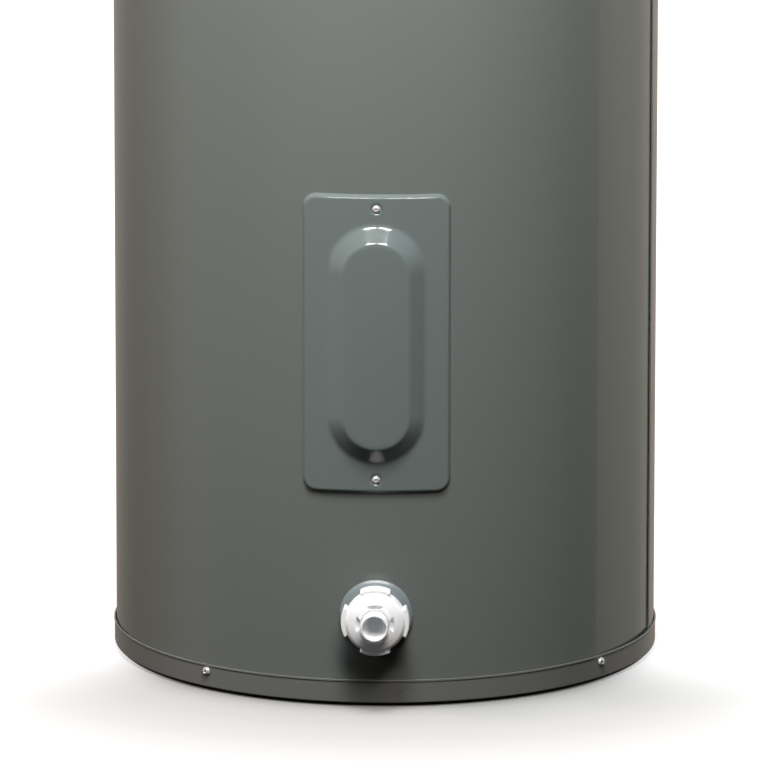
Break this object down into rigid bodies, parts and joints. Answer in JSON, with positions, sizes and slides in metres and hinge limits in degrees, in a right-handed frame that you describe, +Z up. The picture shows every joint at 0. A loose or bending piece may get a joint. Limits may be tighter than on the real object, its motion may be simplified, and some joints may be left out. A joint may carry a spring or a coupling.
{
  "type": "tank water heater",
  "caption": "Tall round electric tank water heater with grey painted jacket, base pan, embossed access panels, white plastic drain valve and side relief valve.",
  "frame": {"origin": "centre of the base pan's flat underside, on the floor", "axes": "+Z up along the tank's axis, -Y the front with the access panels and the drain valve, +X to the right seen from the front"},
  "size_m": [0.6218, 0.5905, 1.514],
  "materials": {
    "jacket_paint": "semi-gloss grey enamel",
    "pan_paint": "semi-gloss darker grey enamel",
    "panel_paint": "semi-gloss grey enamel over pressed steel",
    "zinc_screw": "bright zinc",
    "white_plastic": "satin moulded",
    "grey_plastic": "satin moulded",
    "foam": "open-cell cut face",
    "insulation_pad": "glass-fibre batt",
    "tank_steel": "dull primer over steel",
    "brass": "machined and cast",
    "plain_steel": "bare plated steel",
    "element_sheath": "tinned copper sheath",
    "black_phenolic": "satin moulded phenolic",
    "red_plastic": "moulded",
    "blue_plastic": "moulded",
    "rubber": "matte",
    "anode": "cast",
    "dip_tube_plastic": "extruded",
    "black_wire": "insulated lead",
    "red_wire": "insulated lead",
    "green_screw": "green dyed zinc"
  },
  "bodies": {
    "tank": {"base_pan": "pan_paint", "jacket": "jacket_paint", "top_cover": "pan_paint", "foam_insulation": "foam", "tank_support_pad": "foam", "tank_shell": "tank_steel", "tank_top_head": "tank_steel", "tank_bottom_head": "tank_steel", "cold_nipple": "plain_steel", "hot_nipple": "plain_steel", "cold_nipple_ring": "blue_plastic", "hot_nipple_ring": "red_plastic", "dip_tube": "dip_tube_plastic", "anode_rod": "anode", "lower_element_head": "plain_steel", "upper_element_head": "plain_steel", "lower_element_sheath": "element_sheath", "upper_element_sheath": "element_sheath", "lower_element_gasket": "rubber", "upper_element_gasket": "rubber", "lower_thermostat": "black_phenolic", "upper_thermostat": "black_phenolic", "lower_thermostat_bracket": "plain_steel", "upper_thermostat_bracket": "plain_steel", "junction_box": "plain_steel", "ground_screw": "green_screw", "supply_wire_black": "black_wire", "supply_wire_red": "red_wire", "lower_wire_black": "black_wire", "lower_wire_red": "red_wire", "relief_valve_body": "brass", "relief_escutcheon": "grey_plastic", "drain_escutcheon": "grey_plastic", "drain_valve_body": "white_plastic", "drain_spout": "white_plastic", "base_screw_1": "zinc_screw", "base_screw_2": "zinc_screw", "base_screw_3": "zinc_screw", "base_screw_4": "zinc_screw"},
    "drain_wheel": {"drain_handwheel": "white_plastic"},
    "drain_plug": {"drain_plug": "white_plastic", "drain_seal": "rubber"},
    "relief_lever": {"relief_valve_lever": "plain_steel"},
    "relief_stem": {"relief_valve_stem": "plain_steel"},
    "lower_dial": {"lower_thermostat_dial": "white_plastic"},
    "upper_dial": {"upper_thermostat_dial": "white_plastic"},
    "reset_button": {"reset_button": "red_plastic"},
    "lower_panel": {"lower_access_panel": "panel_paint", "lower_panel_screw_1": "zinc_screw", "lower_panel_screw_2": "zinc_screw", "lower_insulation_pad": "insulation_pad"},
    "upper_panel": {"upper_access_panel": "panel_paint", "upper_panel_screw_1": "zinc_screw", "upper_panel_screw_2": "zinc_screw", "upper_insulation_pad": "insulation_pad"},
    "junction_lid": {"junction_cover": "pan_paint", "junction_cover_screw": "zinc_screw"}
  },
  "joints": [
    {"name": "drain_wheel_turn", "type": "hinge", "parent": "tank", "child": "drain_wheel", "pos_m": [0, -0.2864, 0.091], "axis": [0, -1, 0], "range_deg": [0, 360]},
    {"name": "drain_plug_travel", "type": "slide", "parent": "tank", "child": "drain_plug", "axis": [0, -1, 0], "range_m": [0, 0.004]},
    {"name": "relief_lever_lift", "type": "hinge", "parent": "tank", "child": "relief_lever", "pos_m": [0.34057, 0.08492, 1.33], "axis": [-0.2419, 0.9703, 0], "range_deg": [0, 80], "stiffness_Nm_per_rad": 0.12, "springref_deg": -14.32},
    {"name": "relief_stem_lift", "type": "slide", "parent": "tank", "child": "relief_stem", "axis": [0.9703, 0.2419, 0], "range_m": [0, 0.004]},
    {"name": "lower_dial_turn", "type": "hinge", "parent": "tank", "child": "lower_dial", "pos_m": [-0.013, -0.228, 0.3764], "axis": [0, -1, 0], "range_deg": [-120, 120]},
    {"name": "upper_dial_turn", "type": "hinge", "parent": "tank", "child": "upper_dial", "pos_m": [-0.013, -0.228, 1.12], "axis": [0, -1, 0], "range_deg": [-120, 120]},
    {"name": "reset_button_press", "type": "slide", "parent": "tank", "child": "reset_button", "axis": [0, 1, 0], "range_m": [0, 0.002], "stiffness_N_per_m": 400, "springref_m": -0.0015},
    {"name": "lower_panel_off", "type": "slide", "parent": "tank", "child": "lower_panel", "axis": [0, -1, 0], "range_m": [0, 0.15]},
    {"name": "upper_panel_off", "type": "slide", "parent": "tank", "child": "upper_panel", "axis": [0, -1, 0], "range_m": [0, 0.15]},
    {"name": "junction_lid_off", "type": "slide", "parent": "tank", "child": "junction_lid", "axis": [0, 0, 1], "range_m": [0, 0.08]}
  ],
  "couplings": [
    {"joint": "drain_plug_travel", "follows": "drain_wheel_turn", "m_per_rad": 0.00063598},
    {"joint": "relief_stem_lift", "follows": "relief_lever_lift", "m_per_rad": 0.0028619}
  ]
}
